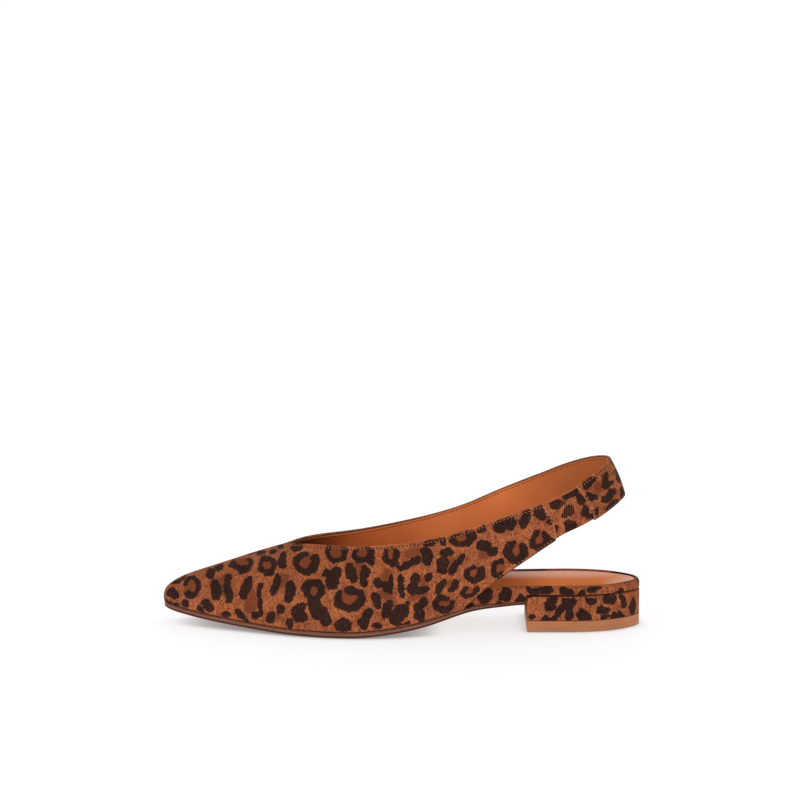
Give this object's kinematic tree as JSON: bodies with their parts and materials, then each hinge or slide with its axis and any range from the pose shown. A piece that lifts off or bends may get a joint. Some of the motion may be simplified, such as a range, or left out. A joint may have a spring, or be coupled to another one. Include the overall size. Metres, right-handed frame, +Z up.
{
  "type": "slingback flat shoe",
  "caption": "Low-heeled pointed slingback flat in animal-print suede, with an open back, a strap round the heel with an elastic gusset, and a tan leather lining.",
  "frame": {"origin": "on the floor, under the middle of the shoe's bounding box", "axes": "+X from the toe to the heel, -Y to the outer (lateral) side, +Z up"},
  "size_m": [0.2629, 0.0808, 0.0926],
  "materials": {
    "upper_suede": "matte",
    "strap_suede": "matte",
    "gusset_elastic": "matte",
    "seat_cover": "matte",
    "sock_leather": "satin",
    "sole_leather": "satin",
    "heel_cover": "matte",
    "lift_rubber": "satin"
  },
  "bodies": {
    "root": {"upper": "upper_suede", "sling_strap": "strap_suede", "elastic_gusset": "gusset_elastic", "insole_board": "seat_cover", "insole": "sock_leather", "outsole": "sole_leather", "heel_block": "heel_cover", "top_lift": "lift_rubber"}
  },
  "joints": []
}
